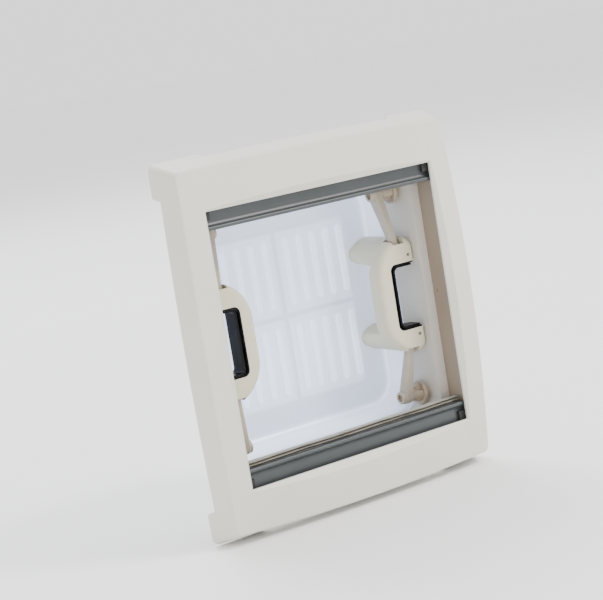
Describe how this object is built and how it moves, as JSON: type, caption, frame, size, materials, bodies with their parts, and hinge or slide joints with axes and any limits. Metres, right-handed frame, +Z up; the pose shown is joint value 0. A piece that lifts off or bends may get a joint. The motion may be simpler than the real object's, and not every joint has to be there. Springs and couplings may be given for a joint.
{
  "type": "roof window",
  "caption": "Camper roof window seen from the room side: crowned inner frame with two pleated blinds, and a ribbed opal dome that lifts on four arms by two squeeze handles.",
  "frame": {"origin": "centre of the roof opening, on the roof's outer skin, where the flange's seal rests", "axes": "+X right as seen from the room, +Y outward to the sky, +Z up as pictured"},
  "size_m": [0.4522, 0.1603, 0.499],
  "materials": {
    "frame_plastic": "satin moulded ABS",
    "outer_plastic": "satin moulded ABS",
    "bracket_plastic": "satin moulded nylon",
    "arm_plastic": "satin moulded nylon",
    "guide_plastic": "satin moulded nylon",
    "handle_plastic": "fine grained ABS",
    "black_plastic": "semi gloss nylon",
    "dome_acrylic": "opal acrylic, lets light through",
    "dome_shell": "opal acrylic, lets light through",
    "bar_metal": "grey powder coat",
    "cap_plastic": "moulded grey nylon",
    "steel": "zinc plated",
    "foam": "closed cell foam",
    "rubber": "pale soft bulb seal",
    "screen_fabric": "pleated insect mesh",
    "blackout_fabric": "pleated foil backed cloth"
  },
  "bodies": {
    "frame": {"frame_main": "frame_plastic", "frame_side_rail": "frame_plastic", "cassette_top": "frame_plastic", "cassette_bottom": "frame_plastic", "guide_right": "guide_plastic", "guide_left": "guide_plastic", "guide_screw_right": "guide_plastic", "guide_screw_left": "guide_plastic", "clamp_screws_top": "steel", "clamp_screws_bottom": "steel", "outer_frame": "outer_plastic", "roof_seal": "foam", "dome_seal": "rubber", "screen_pleats": "screen_fabric", "blackout_pleats": "blackout_fabric", "arm_bracket_upper_right": "bracket_plastic", "arm_cap_upper_right": "bracket_plastic", "arm_bracket_upper_left": "bracket_plastic", "arm_cap_upper_left": "bracket_plastic", "arm_bracket_lower_right": "bracket_plastic", "arm_cap_lower_right": "bracket_plastic", "arm_bracket_lower_left": "bracket_plastic", "arm_cap_lower_left": "bracket_plastic"},
    "arm_upper_right": {"arm_upper_right": "arm_plastic"},
    "arm_upper_left": {"arm_upper_left": "arm_plastic"},
    "arm_lower_right": {"arm_lower_right": "arm_plastic"},
    "arm_lower_left": {"arm_lower_left": "arm_plastic"},
    "screen_bar": {"screen_bar": "bar_metal", "screen_cap_right": "cap_plastic", "screen_cap_left": "cap_plastic"},
    "blackout_bar": {"blackout_bar": "bar_metal", "blackout_cap_right": "cap_plastic", "blackout_cap_left": "cap_plastic"},
    "dome": {"dome_inner": "dome_acrylic", "dome_outer": "dome_shell", "handle_right": "handle_plastic", "liner_right": "black_plastic", "handle_screws_right": "steel", "lever_spring_upper_right": "steel", "lever_spring_lower_right": "steel", "handle_left": "handle_plastic", "liner_left": "black_plastic", "handle_screws_left": "steel", "lever_spring_upper_left": "steel", "lever_spring_lower_left": "steel"},
    "lever_right": {"lever_right": "black_plastic"},
    "lever_left": {"lever_left": "black_plastic"}
  },
  "joints": [
    {"name": "dome_lift", "type": "slide", "parent": "frame", "child": "dome", "axis": [0, 1, 0], "range_m": [0, 0.055]},
    {"name": "screen_slide", "type": "slide", "parent": "frame", "child": "screen_bar", "axis": [0, 0, -1], "range_m": [0, 0.15], "deforming": ["screen_pleats"]},
    {"name": "blackout_slide", "type": "slide", "parent": "frame", "child": "blackout_bar", "axis": [0, 0, 1], "range_m": [0, 0.15], "deforming": ["blackout_pleats"]},
    {"name": "lever_right_squeeze", "type": "slide", "parent": "dome", "child": "lever_right", "axis": [-1, 0, 0], "range_m": [0, 0.003], "stiffness_N_per_m": 900, "springref_m": -0.004, "deforming": ["lever_spring_upper_right", "lever_spring_lower_right"]},
    {"name": "lever_left_squeeze", "type": "slide", "parent": "dome", "child": "lever_left", "axis": [1, 0, 0], "range_m": [0, 0.003], "stiffness_N_per_m": 900, "springref_m": -0.004, "deforming": ["lever_spring_upper_left", "lever_spring_lower_left"]},
    {"name": "arm_upper_right_pivot", "type": "hinge", "parent": "frame", "child": "arm_upper_right", "pos_m": [0.1385, 0.007, 0.144], "axis": [1, 0, 0], "range_deg": [0, 40]},
    {"name": "arm_upper_left_pivot", "type": "hinge", "parent": "frame", "child": "arm_upper_left", "pos_m": [-0.1385, 0.007, 0.144], "axis": [1, 0, 0], "range_deg": [0, 40]},
    {"name": "arm_lower_right_pivot", "type": "hinge", "parent": "frame", "child": "arm_lower_right", "pos_m": [0.1385, 0.007, -0.144], "axis": [-1, 0, 0], "range_deg": [0, 40]},
    {"name": "arm_lower_left_pivot", "type": "hinge", "parent": "frame", "child": "arm_lower_left", "pos_m": [-0.1385, 0.007, -0.144], "axis": [-1, 0, 0], "range_deg": [0, 40]}
  ],
  "couplings": [
    {"joint": "arm_upper_right_pivot", "follows": "dome_lift", "rad_per_m": 12.531},
    {"joint": "arm_upper_left_pivot", "follows": "dome_lift", "rad_per_m": 12.531},
    {"joint": "arm_lower_right_pivot", "follows": "dome_lift", "rad_per_m": 12.531},
    {"joint": "arm_lower_left_pivot", "follows": "dome_lift", "rad_per_m": 12.531}
  ]
}
